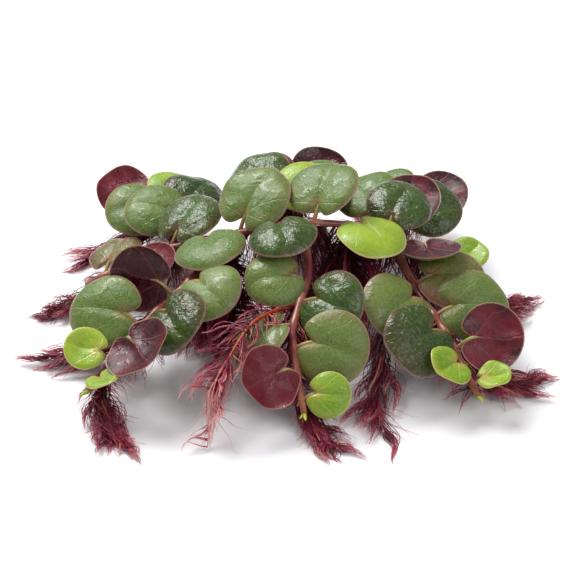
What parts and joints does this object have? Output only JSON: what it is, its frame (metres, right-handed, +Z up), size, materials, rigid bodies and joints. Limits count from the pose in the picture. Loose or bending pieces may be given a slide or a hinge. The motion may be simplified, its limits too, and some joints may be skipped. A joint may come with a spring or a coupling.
{
  "type": "red root floater",
  "caption": "Red root floater, a floating aquarium plant: branching stems with round heart-shaped leaves, green above and wine red below, over tufts of crimson roots",
  "frame": {"origin": "on the surface that the plant lies on, under the middle of its bounding box", "axes": "+Z up; the main stem runs roughly along +X from its oldest end to its tip; -Y is the side seen in the picture"},
  "size_m": [0.1101, 0.0976, 0.0313],
  "materials": {
    "leaf_green": "satin",
    "leaf_lime": "satin",
    "leaf_dark": "gloss",
    "leaf_olive": "satin",
    "stem": "satin",
    "root": "gloss"
  },
  "bodies": {
    "root": {"main_stem": "stem", "main_stem_leaf_1": "leaf_olive", "main_stem_leaf_2": "leaf_green", "main_stem_leaf_3": "leaf_dark", "main_stem_leaf_4": "leaf_green", "main_stem_leaf_5": "leaf_green", "main_stem_leaf_6": "leaf_dark", "main_stem_leaf_7": "leaf_green", "main_stem_leaf_8": "leaf_lime", "main_stem_leaf_9": "leaf_dark", "main_stem_leaf_10": "leaf_green", "side_stem_1": "stem", "side_stem_1_leaf_1": "leaf_green", "side_stem_1_leaf_2": "leaf_olive", "side_stem_1_leaf_3": "leaf_dark", "side_stem_1_leaf_4": "leaf_green", "side_stem_1_leaf_5": "leaf_green", "side_stem_2": "stem", "side_stem_2_leaf_1": "leaf_green", "side_stem_2_leaf_2": "leaf_dark", "side_stem_2_leaf_3": "leaf_green", "side_stem_2_leaf_4": "leaf_green", "side_stem_2_leaf_5": "leaf_olive", "side_stem_3": "stem", "side_stem_3_leaf_1": "leaf_olive", "side_stem_3_leaf_2": "leaf_green", "side_stem_3_leaf_3": "leaf_green", "side_stem_3_leaf_4": "leaf_dark", "side_stem_3_leaf_5": "leaf_green", "side_stem_4": "stem", "side_stem_4_leaf_1": "leaf_green", "side_stem_4_leaf_2": "leaf_dark", "side_stem_4_leaf_3": "leaf_green", "side_stem_4_leaf_4": "leaf_lime", "side_stem_4_leaf_5": "leaf_olive", "side_stem_5": "stem", "side_stem_5_leaf_1": "leaf_lime", "side_stem_5_leaf_2": "leaf_dark", "side_stem_5_leaf_3": "leaf_green", "side_stem_5_leaf_4": "leaf_olive", "side_stem_5_leaf_5": "leaf_dark", "side_stem_6": "stem", "side_stem_6_leaf_1": "leaf_green", "side_stem_6_leaf_2": "leaf_green", "side_stem_6_leaf_3": "leaf_dark", "side_stem_6_leaf_4": "leaf_green", "side_stem_6_leaf_5": "leaf_green", "root_tuft_1": "root", "root_tuft_2": "root", "root_tuft_3": "root", "root_tuft_4": "root", "root_tuft_5": "root", "root_tuft_6": "root", "root_tuft_7": "root", "root_tuft_8": "root", "root_tuft_9": "root", "root_tuft_10": "root", "root_tuft_11": "root", "root_tuft_12": "root", "root_tuft_13": "root"}
  },
  "joints": []
}
